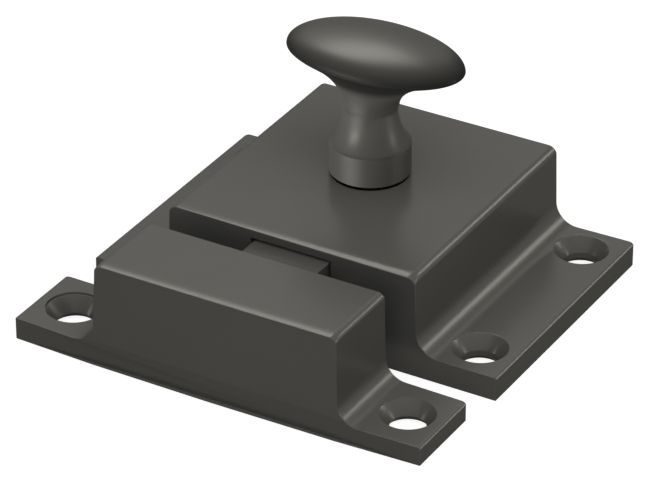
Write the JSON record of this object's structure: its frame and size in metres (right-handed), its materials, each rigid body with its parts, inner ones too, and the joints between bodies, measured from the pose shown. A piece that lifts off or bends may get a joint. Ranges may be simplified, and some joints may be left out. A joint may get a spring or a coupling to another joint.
{
  "type": "cabinet lock with turn knob and strike",
  "caption": "Surface-mounted cabinet lock: cast case with a spring bolt, oval turn knob and matching strike, in dark bronze finish.",
  "frame": {"origin": "centre of the case's four screw holes, on the mounting plane under the case and the strike", "axes": "+X along the strike, to the right as seen from the strike's side; +Y from the strike towards the back of the case; +Z away from the door, to the knob"},
  "size_m": [0.058, 0.054, 0.0339],
  "materials": {
    "bronze_finish": "satin",
    "black_fibre": "matte",
    "dark_steel": "satin",
    "plain_brass": "satin",
    "bright_steel": "satin",
    "spring_steel": "satin"
  },
  "bodies": {
    "case": {"latch_case": "bronze_finish", "strike": "bronze_finish", "cover_plate": "dark_steel", "cover_screw_1": "dark_steel", "cover_screw_2": "dark_steel", "cover_screw_3": "dark_steel", "cover_screw_4": "dark_steel", "spindle_bush": "plain_brass", "pivot_bush": "plain_brass", "knob_washer": "black_fibre", "bolt_spring": "spring_steel"},
    "knob": {"oval_knob": "bronze_finish", "spindle": "bright_steel", "thrust_washer": "bright_steel", "cam": "bright_steel", "cam_washer": "bright_steel", "retaining_clip": "bright_steel"},
    "bolt": {"bolt": "bronze_finish", "spring_guide": "bright_steel"}
  },
  "joints": [
    {"name": "knob_turn", "type": "hinge", "parent": "case", "child": "knob", "pos_m": [0, 0.00097, 0.02], "axis": [0, 0, 1], "range_deg": [0, 60], "stiffness_Nm_per_rad": 0.005, "springref_deg": -68.75},
    {"name": "bolt_slide", "type": "slide", "parent": "case", "child": "bolt", "axis": [0, 1, 0], "range_m": [0, 0.00524], "deforming": ["bolt_spring"]}
  ],
  "couplings": [
    {"joint": "bolt_slide", "follows": "knob_turn", "m_per_rad": 0.005}
  ]
}
